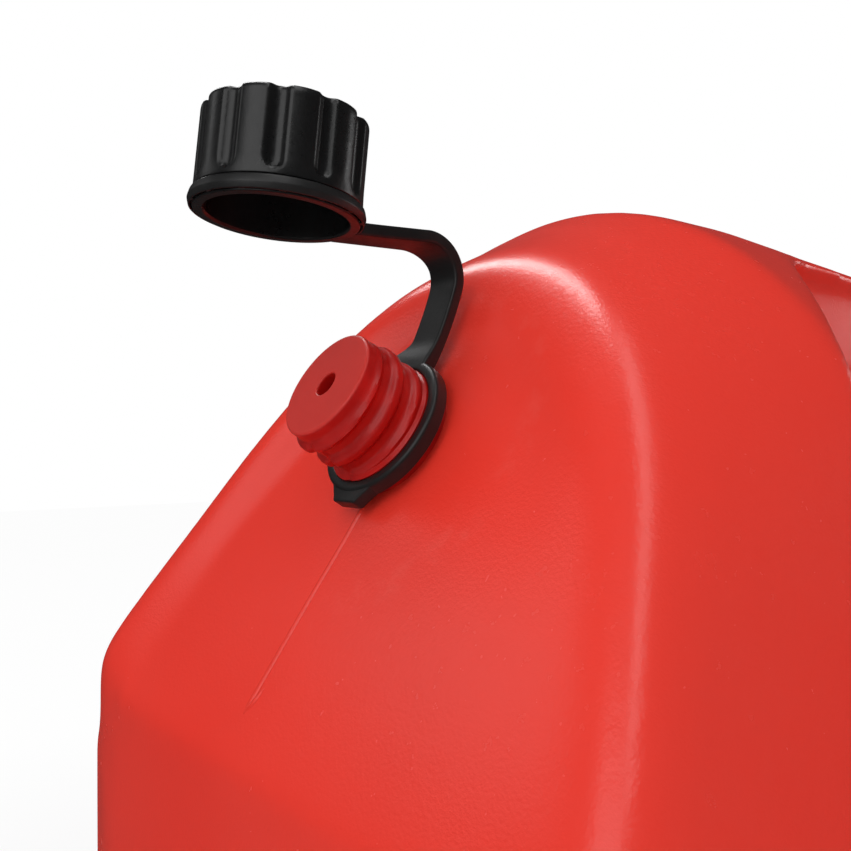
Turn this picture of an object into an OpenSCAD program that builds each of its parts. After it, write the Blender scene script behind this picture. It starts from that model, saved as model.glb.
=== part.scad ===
// Fuel can: a blow-moulded tank with a carrying handle, a tethered vent cap and a pouring spout.
// The vent end points along -X, the spout end along +X, and the base's centre is the origin.

/* [Tank] */
// Length of the tank
tank_l = 298; // [290:1:340]
// Width of the tank
tank_w = 142; // [134:1:180]
// Height of the tank, to the top of the handle
tank_h = 244; // [235:1:300]
// Thickness of the moulded wall
wall = 2.5; // [1.8:0.1:3.5]
// Radius of the upright corners, seen from above
corner_r = 26; // [16:1:36]
// Radius that the base's edge is drawn in by
foot_r = 9; // [4:1:14]
// Height at which the upright sides turn in to the shoulder
shoulder_z = 134; // [110:1:150]
// Length over which the top falls towards the spout end
nose_l = 85; // [70:1:95]
// How far the top falls over that length
nose_drop = 28; // [20:1:36]
// Radius of the rounded top at the vent end, seen from the end
crown_r = 61; // [56:1:64]
// Radius of the rounded top over the handle, seen from the end
ridge_r = 34; // [28:1:40]
// How far the top falls along the handle, before the nose
ridge_fall = 5; // [3:0.5:8]

/* [Handle] */
// Thickness of the grip, from the top of the handle to the hand gap
grip_t = 28; // [25:1:34]
// Width of the grip at its underside
grip_w = 36; // [30:1:44]
// Height of the hand gap
gap_h = 40; // [36:1:46]
// Distance from the vent end wall to the hand gap
gap_setback = 98; // [94:1:110]
// How far the hand scoop widens towards the vent for each millimetre of depth
scoop_flare = 0.8; // [0.6:0.05:1.2]
// How far the hand scoop widens towards the spout for each millimetre of depth
scoop_front_flare = 0.35; // [0.2:0.05:0.5]
// How far the hand scoop reaches up beside the grip, past the hand gap
scoop_rise = 18; // [14:1:20]
// Fall of the scoop's floor towards the sides, in degrees
scoop_fall = 17; // [10:1:24]

/* [Vent face] */
// Slope of the vent face above the horizontal, in degrees
vent_slope = 59; // [50:0.5:66]
// Distance from the vent end wall to the vent's centre
vent_setback = 29; // [27:1:36]
// Fall from the top of the handle to the vent's centre
vent_drop = 41.5; // [38:0.5:48]
// Slope of the crown just behind the vent face, in degrees
crown_slope = 26.4; // [20:0.2:32]
// Distance from the vent's centre to the top of that slope
crown_break = 40; // [34:1:48]

/* [Vent stud] */
// Radius of the thread's crest
stud_crest_r = 10; // [9:0.1:11]
// Radius of the thread's root
stud_root_r = 9; // [8:0.1:9.4]
// Height of the stud above the vent face
stud_h = 15.8; // [14:0.1:18]
// Pitch of the thread
stud_pitch = 4.2; // [3.6:0.1:4.6]
// Radius of the plain land that the tether turns on
stud_land_r = 10.2; // [10.1:0.05:11]
// Radius of the air hole
vent_hole_r = 2.5; // [1.5:0.1:3.5]
// Thickness of the stud's end round the air hole
stud_end_t = 4; // [3:0.5:6]

/* [Tether] */
// Radial width of the ring on the stud
neck_ring_w = 2.2; // [1.8:0.1:3]
// Thickness of the ring on the stud
neck_ring_t = 3; // [2.4:0.1:3.6]
// Width of the pull tab below the ring
tab_w = 7.4; // [6:0.2:10]
// Length of the pull tab past the ring
tab_l = 2; // [1.6:0.2:4]
// Width of the strap
strap_w = 8.2; // [6:0.2:10]
// Thickness of the strap
strap_t = 2; // [1.6:0.1:2.4]
// Angle at which the strap rises from the ring, in degrees
strap_lift = 15; // [8:1:18]
// Straight length from the ring to the bend
strap_run = 14.3; // [12:0.1:17]
// Radius of the strap's bend, at its centre line
bend_r = 6; // [5:0.5:8]
// Angle that the strap has turned through at the end of the bend, in degrees
bend_angle = 123; // [115:1:135]
// Straight length from the bend to the ring on the cap
arm_run = 12.6; // [10:0.2:16]
// Radial width of the ring on the cap
cap_ring_w = 1.2; // [1:0.1:2]
// Thickness of the ring on the cap
cap_ring_t = 2.3; // [2:0.1:3]

/* [Vent cap] */
// Radius of the cap at its ribs
vent_cap_r = 12.2; // [11.8:0.1:13]
// Height of the cap
vent_cap_h = 16; // [14:0.5:20]
// Thickness of the cap's top
vent_cap_top_t = 2.4; // [2:0.1:3]
// Number of finger flutes round the cap
flute_count = 11; // [8:1:14]
// Radius of each flute
flute_r = 1.9; // [1.4:0.1:2.2]
// Depth of each flute
flute_depth = 0.8; // [0.5:0.1:1]
// Height of the plain skirt below the flutes
flute_skirt = 4.8; // [4.4:0.1:7]
// Angle from the vent's axis to the open cap's axis, in degrees
cap_tilt = 65; // [55:1:75]
// Thickness of the cap's seal
cap_seal_t = 1.2; // [0.8:0.1:2]

/* [Filler neck] */
// Fall from the top of the handle to the filler deck
deck_drop = 56; // [52:1:62]
// Distance from the spout end wall to the neck's axis
neck_setback = 29; // [28:1:32]
// Radius of the neck's bore
neck_bore_r = 16; // [13:0.5:17]
// Wall of the neck under its thread
neck_wall = 3; // [2.5:0.1:3.5]
// Height of the neck above the deck
neck_h = 19; // [17:0.5:22]
// Depth of the neck's thread
neck_thread_depth = 1.4; // [1:0.1:1.8]
// Pitch of the neck's thread
neck_pitch = 5; // [4:0.1:5.5]
// Thickness of the front leg of the handle at the deck
leg_t = 22; // [18:1:26]
// Clearance between the front leg and the screw collar
collar_gap = 2.4; // [1.5:0.1:5]
// Lean of the front leg's face from upright, in degrees
leg_lean = 17; // [12:1:24]

/* [Spout] */
// Thickness of the gasket on the neck
gasket_t = 2; // [1.5:0.1:3]
// Thickness of the spout's flange
flange_t = 3; // [2.5:0.1:4]
// Outer radius of the spout at its foot
spout_foot_r = 14; // [12:0.5:14.5]
// Outer radius of the spout at its tip
spout_tip_r = 9; // [8:0.5:11]
// Length of the spout above its flange
spout_l = 94; // [80:1:110]
// Wall of the spout
spout_wall = 2; // [1.6:0.1:2.5]
// Length of the spout's plain tip
tip_l = 14; // [11:0.5:18]
// Wall of the screw collar
collar_wall = 2.8; // [2.4:0.1:3.5]
// Thickness of the collar's lip over the flange
collar_lip_t = 3; // [2.4:0.1:4]
// Number of grip ribs round the collar
collar_ribs = 30; // [20:1:40]
// Wall of the tip cap
tip_cap_wall = 1.8; // [1.4:0.1:2.5]
// Height of the tip cap's skirt over the tip
tip_cap_skirt = 11; // [8:0.5:13]
// Thickness of the tip cap's seal
tip_seal_t = 1.2; // [0.8:0.1:2]

/* [Fits] */
// Radial clearance of a piece that turns on another
run_fit = 0.06; // [0.03:0.01:0.09]
// Clearance between pieces that pass each other freely
free_fit = 0.3; // [0.2:0.05:0.5]

/* [Hidden] */
$fn = 64;
big = 800;

// Vent face frame: the vent's centre on the face, with x up the slope and z along the vent's axis
vent_x = -tank_l / 2 + vent_setback;
vent_z = tank_h - vent_drop;

// Crown line, from the vent end to the spout end
crown_x1 = vent_x + crown_break;
crown_z1 = tank_h - 0.5;
end_x = tank_l / 2 - 3;
crown_x0 = -end_x;
crown_z0 = crown_z1 - (crown_x1 - crown_x0) * tan(crown_slope);
crown_x2 = crown_x1 + 18;
crown_r2 = crown_r - (crown_r - ridge_r) * 0.26;
crown_x3 = crown_x1 + 44;
crown_z3 = tank_h - ridge_fall * 0.32;
crown_r3 = crown_r - (crown_r - ridge_r) * 0.63;
crown_x4 = tank_l / 2 - nose_l;
crown_z4 = tank_h - ridge_fall;
crown_x5 = end_x;
crown_z5 = tank_h - nose_drop;
crown_line = [[crown_x0, crown_z0, crown_r], [crown_x1, crown_z1, crown_r], [crown_x2, tank_h, crown_r2],
              [crown_x3, crown_z3, crown_r3], [crown_x4, crown_z4, ridge_r], [crown_x5, crown_z5, ridge_r]];

// Hand gap
gap_r = gap_h / 2;
gap_z = tank_h - grip_t - gap_r;
gap_x0 = -tank_l / 2 + gap_setback + gap_r;

// Filler deck and neck
deck_z = tank_h - deck_drop;
neck_x = tank_l / 2 - neck_setback;
neck_r = neck_bore_r + neck_wall;
neck_crest_r = neck_r + neck_thread_depth;
neck_top = deck_z + neck_h;
flange_z = neck_top + gasket_t;
spout_z = flange_z + flange_t;
spout_top = spout_z + spout_l;
flange_r = neck_r + 0.5;
collar_bore_r = neck_crest_r + free_fit;
collar_r = collar_bore_r + collar_wall;
collar_rib_r = 1.1;
leg_x = neck_x - collar_r - collar_rib_r - collar_gap;
gap_x1 = leg_x - leg_t - gap_r;
collar_z0 = deck_z + 1.5;
collar_z1 = spout_z + free_fit;
collar_top = collar_z1 + collar_lip_t;
tip_z = spout_top - tip_l;

// Where the moulding is divided into nodes: at the foot of the shoulders
split_z = (shoulder_z + gap_z - gap_r - (tank_w - grip_w) / 2 * tan(scoop_fall)) / 2;

// Tether and open vent cap, in the vent face frame
stud_bore_r = stud_root_r - wall;
neck_ring_bore_r = stud_land_r + run_fit;
neck_ring_r = neck_ring_bore_r + neck_ring_w;
land_h = neck_ring_t + 2 * free_fit;
strap_mid = free_fit + strap_t / 2;
strap_foot = [neck_ring_r - 1, strap_mid];
bend_foot = strap_foot + strap_run * [cos(strap_lift), sin(strap_lift)];
bend_at = bend_foot + bend_r * [-sin(strap_lift), cos(strap_lift)];
half_bend = (strap_lift + bend_angle) / 2;
function on_bend(a, r = bend_r) = bend_at + r * [sin(a), -cos(a)];
hinge_at = on_bend(half_bend);
knuckle_r = strap_t * 0.7;
bend_end = on_bend(bend_angle);
arm_end = bend_end + arm_run * [cos(bend_angle), sin(bend_angle)];
cap_bore_r = stud_crest_r + 0.4;
cap_groove_r = vent_cap_r - 0.65;
cap_bead_r = vent_cap_r - 0.15;
cap_bead_t = 0.8;
cap_groove_h = cap_ring_t + 2 * 0.15;
cap_ring_bore_r = cap_groove_r + run_fit;
cap_ring_r = cap_ring_bore_r + cap_ring_w;
cap_ring_mid = cap_bead_t + cap_groove_h / 2;
cap_middle = arm_end - (cap_ring_r - 0.4) * [cos(cap_tilt), -sin(cap_tilt)];
cap_at = cap_middle - cap_ring_mid * [sin(cap_tilt), cos(cap_tilt)];
cap_bore_h = vent_cap_h - vent_cap_top_t;

// Frames
module at_vent() {
    translate([vent_x, 0, vent_z]) rotate([0, -vent_slope, 0]) children();
}
module at_cap() {
    at_vent() translate([cap_at[0], 0, cap_at[1]]) rotate([0, cap_tilt, 0]) children();
}
module at_neck(z) {
    translate([neck_x, 0, z]) children();
}

// A tube between two heights
module tube(z0, z1, outer, inner) {
    difference() {
        translate([0, 0, z0]) cylinder(h = z1 - z0, r = outer);
        translate([0, 0, z0 - 1]) cylinder(h = z1 - z0 + 2, r = inner);
    }
}

// Thread ridges round a core, one at each turn, from the height z0 up
module thread(core_r, crest_r, pitch, turns, foot_w, crest_w, z0) {
    for (i = [0:turns - 1])
        translate([0, 0, z0 + i * pitch]) rotate_extrude()
            polygon([[core_r - 1, -foot_w / 2], [core_r, -foot_w / 2], [crest_r, -crest_w / 2],
                     [crest_r, crest_w / 2], [core_r, foot_w / 2], [core_r - 1, foot_w / 2]]);
}

// The tank's closed form, drawn in by inset on every side
module tank_form(inset) {
    x = tank_l / 2 - corner_r;
    y = tank_w / 2 - corner_r;
    intersection() {
        hull() {
            for (sx = [-x, x], sy = [-y, y]) {
                translate([sx, sy, inset]) cylinder(h = 1, r = corner_r - foot_r, $fn = 48);
                translate([sx, sy, inset + foot_r * 0.3])
                    cylinder(h = 1, r = corner_r - inset - foot_r * 0.3, $fn = 48);
                translate([sx, sy, foot_r])
                    cylinder(h = shoulder_z - foot_r, r = corner_r - inset, $fn = 48);
            }
            for (p = crown_line)
                translate([max(-end_x + inset, min(end_x - inset - 1, p[0])), 0, p[1] - p[2]])
                    rotate([0, 90, 0]) cylinder(h = 1, r = p[2] - inset, $fn = 96);
        }
        at_vent() translate([-big / 2, -big / 2, -big - inset]) cube(big);
    }
}

// What is cut away over the filler deck, grown by inset
module deck_cut(inset) {
    translate([leg_x, 0, deck_z]) rotate([90, 0, 0])
        linear_extrude(height = big, center = true)
            polygon([[-inset / cos(leg_lean) - inset * tan(leg_lean), -inset], [big, -inset], [big, big],
                     [-inset / cos(leg_lean) - big * tan(leg_lean), big]]);
}

// The hand gap through the tank and the scoops that lead to it from both sides, grown by inset
module hand_gap(inset) {
    r0 = gap_r + inset;
    for (x = [gap_x0, gap_x1])
        translate([x, 0, gap_z]) rotate([90, 0, 0]) cylinder(h = grip_w + 2, r = r0, center = true);
    translate([gap_x0, -grip_w / 2 - 1, gap_z - r0]) cube([gap_x1 - gap_x0, grip_w + 2, 2 * r0]);
    for (side = [-1, 1])
        intersection() {
            hull() {
                scoop_end(gap_x0, gap_z, scoop_flare, side, inset);
                scoop_end(gap_x0, gap_z + scoop_rise, scoop_flare, side, inset);
                scoop_end(gap_x1, gap_z, scoop_front_flare, side, inset);
                scoop_end(gap_x1, gap_z + scoop_rise, scoop_front_flare, side, inset);
            }
            translate([-big / 2, side * grip_w / 2, gap_z - gap_r - inset / cos(scoop_fall)])
                rotate([-side * scoop_fall, 0, 0])
                    translate([0, -big / 2, 0]) cube([big, big, big]);
        }
}

// One widening end of a hand scoop
module scoop_end(x, z, flare, side, inset) {
    foot_y = grip_w / 2 - inset;
    deep = tank_w / 2 + 12 - foot_y;
    foot = gap_r + inset * (sqrt(1 + flare * flare) - flare);
    translate([x, side * foot_y, z]) rotate([-side * 90, 0, 0])
        cylinder(h = deep, r1 = foot, r2 = foot + flare * deep, $fn = 72);
}

module tank_skin(inset) {
    difference() {
        tank_form(inset);
        deck_cut(inset);
        hand_gap(inset);
    }
}

// The moulded wall inside the stretch of the tank that is handed over
module wall_in() {
    difference() {
        intersection() {
            tank_skin(0);
            children();
        }
        tank_skin(wall);
    }
}

// A stretch of the tank, from x0 to x1 and from z0 to z1
module stretch(x0, x1, z0, z1) {
    translate([x0, -big / 2, z0]) cube([x1 - x0, big, z1 - z0]);
}

// Lower tank, up to the foot of the shoulders, with the tank's top wall under the hand gap
module tank_lower() {
    color("red") wall_in() union() {
        stretch(-big, big, -1, split_z);
        stretch(gap_x0, gap_x1, -1, gap_z);
    }
}

// Shoulder at the vent end, with the sloping vent face
module vent_shoulder() {
    color("red") difference() {
        wall_in() stretch(-big, gap_x0, split_z, big);
        at_vent() cylinder(h = 6 * wall, r = stud_bore_r, center = true);
    }
}

// Grip over the hand gap
module carry_grip() {
    color("red") wall_in() stretch(gap_x0, gap_x1, gap_z, big);
}

// Shoulder at the spout end: the handle's front leg and the filler deck
module filler_shoulder() {
    color("red") difference() {
        wall_in() stretch(gap_x1, big, split_z, big);
        at_neck(deck_z) cylinder(h = 4 * wall, r = neck_bore_r, center = true);
    }
}

// Threaded vent stud on the vent face, drilled at its end
module vent_stud() {
    color("red") at_vent() difference() {
        union() {
            cylinder(h = stud_h, r = stud_root_r);
            cylinder(h = land_h, r = stud_land_r);
            thread(stud_root_r, stud_crest_r, stud_pitch, 2, 2.8, 1, land_h + 3.4);
        }
        translate([0, 0, -wall]) cylinder(h = stud_h - stud_end_t + wall, r = stud_bore_r);
        cylinder(h = stud_h + 1, r = vent_hole_r);
    }
}

// Threaded filler neck on the deck
module filler_neck() {
    color("red") at_neck(0) difference() {
        union() {
            translate([0, 0, deck_z]) cylinder(h = neck_h, r = neck_r);
            thread(neck_r, neck_crest_r, neck_pitch, 3, 3, 1.2, deck_z + 5.5);
        }
        translate([0, 0, deck_z - wall]) cylinder(h = neck_h + 2 * wall, r = neck_bore_r);
    }
}

// Flat strap along a stretch of the bend between two angles, with a straight run before and after it
module strap(a0, a1, before, after) {
    steps = 12;
    function edge(r) = concat(
        [on_bend(a0, r) - before * [cos(a0), sin(a0)]],
        [for (i = [0:steps]) on_bend(a0 + (a1 - a0) * i / steps, r)],
        [on_bend(a1, r) + after * [cos(a1), sin(a1)]]);
    outer = edge(bend_r + strap_t / 2);
    inner = edge(bend_r - strap_t / 2);
    rotate([90, 0, 0]) linear_extrude(height = strap_w, center = true)
        polygon(concat(outer, [for (i = [len(inner) - 1:-1:0]) inner[i]]));
}

// Ring that turns on the vent stud, with its pull tab and the lower half of the strap
module tether_neck_ring() {
    color("dimgray") at_vent() difference() {
        union() {
            translate([0, 0, free_fit]) cylinder(h = neck_ring_t, r = neck_ring_r);
            translate([-neck_ring_r - tab_l, -tab_w / 2, free_fit])
                cube([neck_ring_r + tab_l, tab_w, neck_ring_t]);
            strap(strap_lift, half_bend, strap_run, 0.2);
        }
        cylinder(h = 4 * neck_ring_t, r = neck_ring_bore_r, center = true);
        translate([hinge_at[0], 0, hinge_at[1]]) rotate([90, 0, 0])
            cylinder(h = 2 * strap_w, r = knuckle_r + run_fit, center = true);
    }
}

// Upper half of the strap, and the ring that the vent cap turns in
module tether_arm() {
    color("dimgray") difference() {
        union() {
            at_vent() {
                translate([hinge_at[0], 0, hinge_at[1]]) rotate([90, 0, 0])
                    cylinder(h = strap_w, r = knuckle_r, center = true);
                strap(half_bend, bend_angle, 0.2, arm_run + 0.4);
            }
            at_cap() translate([0, 0, cap_ring_mid - cap_ring_t / 2])
                cylinder(h = cap_ring_t, r = cap_ring_r);
        }
        at_cap() cylinder(h = 4 * vent_cap_h, r = cap_ring_bore_r, center = true);
    }
}

// Fluted vent cap, held in the tether's upper ring between a bead and its skirt
module vent_cap() {
    color("black") at_cap() {
        difference() {
            rotate_extrude() polygon([
                [0, cap_bore_h], [cap_bore_r, cap_bore_h], [cap_bore_r, 0], [cap_bead_r, 0],
                [cap_bead_r, cap_bead_t], [cap_groove_r, cap_bead_t], [cap_groove_r, cap_bead_t + cap_groove_h],
                [vent_cap_r, cap_bead_t + cap_groove_h], [vent_cap_r, vent_cap_h - 0.8],
                [vent_cap_r - 0.8, vent_cap_h], [0, vent_cap_h]]);
            for (i = [0:flute_count - 1])
                rotate([0, 0, (i + 0.5) * 360 / flute_count])
                    translate([vent_cap_r + flute_r - flute_depth, 0, flute_skirt]) {
                        cylinder(h = vent_cap_h, r = flute_r);
                        sphere(r = flute_r);
                    }
        }
    }
}

// Soft disc inside the vent cap that closes the air hole
module vent_cap_seal() {
    color("darkslategray") at_cap() translate([0, 0, cap_bore_h - cap_seal_t])
        cylinder(h = cap_seal_t, r = cap_bore_r);
}

// Flat ring that seals the spout's flange to the neck
module neck_gasket() {
    color("darkslategray") at_neck(0) tube(neck_top, flange_z, neck_r, neck_bore_r);
}

// Straining screen set in the spout's foot
module spout_strainer() {
    pitch = 3.6;
    hole = 2.4;
    screen_r = spout_foot_r - spout_wall;
    color("dimgray") at_neck(spout_z - 1.2) difference() {
        cylinder(h = 1.2, r = screen_r);
        for (i = [-3:3], j = [-3:3])
            if (norm([i, j]) * pitch + hole < screen_r)
                translate([i * pitch - hole / 2, j * pitch - hole / 2, -1]) cube([hole, hole, 4]);
    }
}

// Pouring spout: flange, tapered tube and plain tip
module filler_spout() {
    bore_foot = spout_foot_r - spout_wall;
    bore_tip = spout_tip_r - spout_wall;
    color("black") at_neck(0) rotate_extrude() polygon([
        [bore_foot, flange_z], [flange_r, flange_z], [flange_r, spout_z], [spout_foot_r, spout_z],
        [spout_foot_r, spout_z + 8], [spout_tip_r, tip_z], [spout_tip_r, spout_top], [bore_tip, spout_top],
        [bore_tip, tip_z], [bore_foot, spout_z + 8]]);
}

// Screw collar that holds the spout's flange down on the neck
module spout_collar() {
    color("black") at_neck(0) union() {
        tube(collar_z0, collar_top, collar_r, collar_bore_r);
        tube(collar_z1, collar_top, collar_bore_r + 1, spout_foot_r + run_fit);
        for (i = [0:collar_ribs - 1])
            rotate([0, 0, i * 360 / collar_ribs]) translate([collar_r, 0, collar_z0 + 3])
                cylinder(h = collar_top - collar_z0 - 4.5, r = collar_rib_r, $fn = 16);
    }
}

// Soft disc inside the tip cap
module tip_cap_seal() {
    color("darkslategray") at_neck(spout_top) cylinder(h = tip_seal_t, r = spout_tip_r + run_fit);
}

// Push-on cap that closes the spout's tip
module spout_tip_cap() {
    bore = spout_tip_r + run_fit;
    color("black") at_neck(0) difference() {
        translate([0, 0, spout_top - tip_cap_skirt])
            cylinder(h = tip_cap_skirt + tip_seal_t + tip_cap_wall, r = bore + tip_cap_wall);
        translate([0, 0, spout_top - tip_cap_skirt - 1])
            cylinder(h = tip_cap_skirt + 1 + tip_seal_t, r = bore);
    }
}

tank_lower();
vent_shoulder();
carry_grip();
filler_shoulder();
vent_stud();
filler_neck();
tether_neck_ring();
tether_arm();
vent_cap();
vent_cap_seal();
neck_gasket();
spout_strainer();
filler_spout();
spout_collar();
tip_cap_seal();
spout_tip_cap();
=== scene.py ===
"""Looks of a red fuel can: moulded tank, vent stud, tethered vent cap and pouring spout."""
import logging
import math
from dataclasses import dataclass, field
from enum import Enum
from typing import Callable, Iterable, Sequence, Union

import bmesh
import bpy
from mathutils import Matrix, Vector


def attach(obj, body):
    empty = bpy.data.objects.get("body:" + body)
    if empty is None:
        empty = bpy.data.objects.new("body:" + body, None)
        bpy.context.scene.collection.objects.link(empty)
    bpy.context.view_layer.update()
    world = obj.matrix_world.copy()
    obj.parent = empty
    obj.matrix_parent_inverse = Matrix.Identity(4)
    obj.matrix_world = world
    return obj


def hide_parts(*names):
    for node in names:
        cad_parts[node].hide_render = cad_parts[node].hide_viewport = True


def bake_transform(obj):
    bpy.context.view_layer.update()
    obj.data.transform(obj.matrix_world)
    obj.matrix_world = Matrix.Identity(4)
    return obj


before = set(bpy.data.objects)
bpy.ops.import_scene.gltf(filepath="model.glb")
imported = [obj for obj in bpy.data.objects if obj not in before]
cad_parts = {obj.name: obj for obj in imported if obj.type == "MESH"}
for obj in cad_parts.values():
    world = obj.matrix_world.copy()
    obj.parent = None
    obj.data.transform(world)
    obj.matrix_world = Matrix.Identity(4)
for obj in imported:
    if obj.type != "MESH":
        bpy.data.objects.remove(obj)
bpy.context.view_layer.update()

LOG = logging.getLogger("fuel_can")
MM = 0.001
UPRIGHT = Matrix.Rotation(math.radians(90), 4, "X")
BMesh = bmesh.types.BMesh
Point = tuple[float, float]
Corner = tuple[float, float, float]


class Body(str, Enum):
    """The moving bodies that pieces ride on."""

    CAN = "can"
    RING = "tether_ring"
    ARM = "tether_upper"
    CAP = "vent_cap"
    SPOUT = "spout"
    COLLAR = "collar"
    TIP = "tip_cap"


class Slot(str, Enum):
    """The record's material slots."""

    RED = "tank_red"
    TETHER = "tether_black"
    CAP = "cap_black"
    SPOUT = "spout_black"
    SEAL = "seal_rubber"


# Shader maths


class Value:
    """A number socket that adds Math nodes when it is used in an expression."""

    def __init__(self, graph: "Graph", socket: bpy.types.NodeSocket) -> None:
        """Wraps one output socket of a graph."""
        self.graph = graph
        self.socket = socket

    def _math(self, operation: str, *terms: Union["Value", float]) -> "Value":
        """The result of one Math node, with its inputs in order."""
        return self.graph.node("ShaderNodeMath", {"operation": operation}, *terms)

    def __add__(self, other: Union["Value", float]) -> "Value":
        """self + other."""
        return self._math("ADD", self, other)

    def __sub__(self, other: Union["Value", float]) -> "Value":
        """self - other."""
        return self._math("SUBTRACT", self, other)

    def __mul__(self, other: Union["Value", float]) -> "Value":
        """self * other."""
        return self._math("MULTIPLY", self, other)

    def __rsub__(self, other: float) -> "Value":
        """other - self."""
        return self._math("SUBTRACT", other, self)

    __radd__ = __add__
    __rmul__ = __mul__

    def __abs__(self) -> "Value":
        """The size of the value."""
        return self._math("ABSOLUTE", self)

    def step(self, low: float, high: float) -> "Value":
        """A smooth rise from 0 at low to 1 at high."""
        settings = {"interpolation_type": "SMOOTHSTEP"}
        return self.graph.node("ShaderNodeMapRange", settings, self, low, high, 0.0, 1.0)


class Graph:
    """The node tree of one material, or of the world."""

    COLOURS = {"data_type": "RGBA", "clamp_factor": True}

    def __init__(self, name: str, world: bool = False) -> None:
        """Starts a material with a Principled shader, or a world with a backdrop.

        Args:
            name: the material's or the world's name.
            world: whether it is a world.
        """
        self.owner = (bpy.data.worlds if world else bpy.data.materials).new(name)
        self.owner.use_nodes = True
        self.tree = self.owner.node_tree
        kind = "BACKGROUND" if world else "BSDF_PRINCIPLED"
        self.shader = next(n for n in self.tree.nodes if n.type == kind)

    def node(self, kind: str, settings: dict, *inputs: object, output: Union[int, str] = 0) -> Value:
        """Adds one node.

        Args:
            kind: the node's type.
            settings: attributes to set before its sockets are filled.
            inputs: a value or a link for each input socket, in order; None leaves one as it is.
            output: the socket to return.

        Returns:
            The chosen output.
        """
        made = self.tree.nodes.new(kind)
        for key, setting in settings.items():
            setattr(made, key, setting)
        for socket, given in zip([s for s in made.inputs if s.enabled], inputs):
            self.fill(socket, given)
        outputs = [s for s in made.outputs if s.enabled]
        chosen = outputs[output] if isinstance(output, int) else made.outputs[output]
        return Value(self, chosen)

    def place(self, centre: Vector = Vector(), turn: Vector = Vector()) -> Value:
        """Object coordinates about a point in metres, with the axes turned in radians."""
        here = self.node("ShaderNodeTexCoord", {}, output="Object")
        return self.node("ShaderNodeMapping", {"vector_type": "TEXTURE"}, here, centre, turn)

    def axis(self, place: Value, name: str) -> Value:
        """One part of a vector: X, Y or Z."""
        return self.node("ShaderNodeSeparateXYZ", {}, place, output=name)

    def length(self, place: Value) -> Value:
        """The length of a vector."""
        return self.node("ShaderNodeVectorMath", {"operation": "LENGTH"}, place, output="Value")

    def ray(self, kind: str) -> Value:
        """1 for rays of a kind, such as Camera, and 0 for the others."""
        return self.node("ShaderNodeLightPath", {}, output=f"Is {kind} Ray")

    def noise(self, place: Value, scale: float, detail: float = 2.0, rough: float = 0.5) -> Value:
        """Noise with a mean of about 0.5, in grains per metre."""
        return self.node("ShaderNodeTexNoise", {}, place, scale, detail, rough, output="Fac")

    def blend(self, factor: Value, low: Union[Value, Sequence[float]], high: Sequence[float]) -> Value:
        """A colour between two, by a factor."""
        start = low if isinstance(low, Value) else (*low, 1.0)
        return self.node("ShaderNodeMix", self.COLOURS, factor, start, (*high, 1.0))

    def bump(self, height: Value, strength: float, depth: float) -> Value:
        """A normal from a height, with the depth in metres that a height of 1 stands for."""
        return self.node("ShaderNodeBump", {}, strength, depth, None, height)

    def surface(self, shader: Value) -> None:
        """Makes a shader the material's surface."""
        end = next(n for n in self.tree.nodes if n.type == "OUTPUT_MATERIAL")
        self.fill(end.inputs["Surface"], shader)

    def fill(self, socket: bpy.types.NodeSocket, given: object) -> None:
        """Fills one input socket.

        Args:
            socket: the socket.
            given: a constant, a value to link, or None to leave the socket as it is.
        """
        if isinstance(given, Value):
            self.tree.links.new(given.socket, socket)
        elif given is not None:
            socket.default_value = given

    def feed(self, name: str, given: object) -> None:
        """Fills one socket of the shader."""
        self.fill(self.shader.inputs[name], given)

    def glow(self, weight: float, radius: Sequence[float]) -> None:
        """Lets light into the surface, by a weight and by a reach for each colour in metres."""
        for name, given in (("Weight", weight), ("Radius", radius), ("Scale", 0.5)):
            self.feed(f"Subsurface {name}", given)


@dataclass(frozen=True)
class TankRed:
    """Satin moulded red polyethylene with a fine grain and rub marks."""

    colour: tuple = (0.77, 0.034, 0.020)
    pale: tuple = (0.84, 0.060, 0.040)
    rubbed: tuple = (0.86, 0.30, 0.25)
    rough: float = 0.25
    cloud_per_m: float = 14.0
    grain_per_m: float = 1900.0
    grain_deep: float = 0.00012
    rub_reach: float = 0.0275
    vent: Vector = field(default_factory=Vector)
    vent_turn: Vector = field(default_factory=Vector)

    def material(self) -> bpy.types.Material:
        """Makes the finish.

        Returns:
            The material.
        """
        g = Graph("tank_red")
        here = g.place()
        cloud = g.noise(here, self.cloud_per_m, 3.0)
        grain = g.noise(here, self.grain_per_m, 2.0, 0.6)
        fine = g.noise(here, self.grain_per_m * 0.28, 3.0, 0.55)
        face = g.place(self.vent, self.vent_turn)
        ring = 1.0 - abs(g.length(face) - self.rub_reach).step(0.0008, 0.0034)
        smear = g.noise(face, 160.0, 4.0, 0.65).step(0.46, 0.66)
        near = 1.0 - abs(g.axis(face, "Z")).step(0.001, 0.003)
        rub = ring * smear * near * g.axis(face, "Y").step(0.004, -0.010)
        colour = g.blend(cloud.step(0.3, 0.7) * 0.22, self.colour, self.pale)
        g.feed("Base Color", g.blend(rub * 0.05, colour, self.rubbed))
        g.feed("Roughness", self.rough + (fine - 0.5) * 0.08 + (cloud - 0.5) * 0.06 - rub * 0.04)
        g.feed("Normal", g.bump(grain * 0.7 + fine * 0.3, 0.45, self.grain_deep))
        g.feed("Specular IOR Level", 0.5)
        g.glow(0.08, (0.004, 0.0012, 0.0008))
        return g.owner


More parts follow.
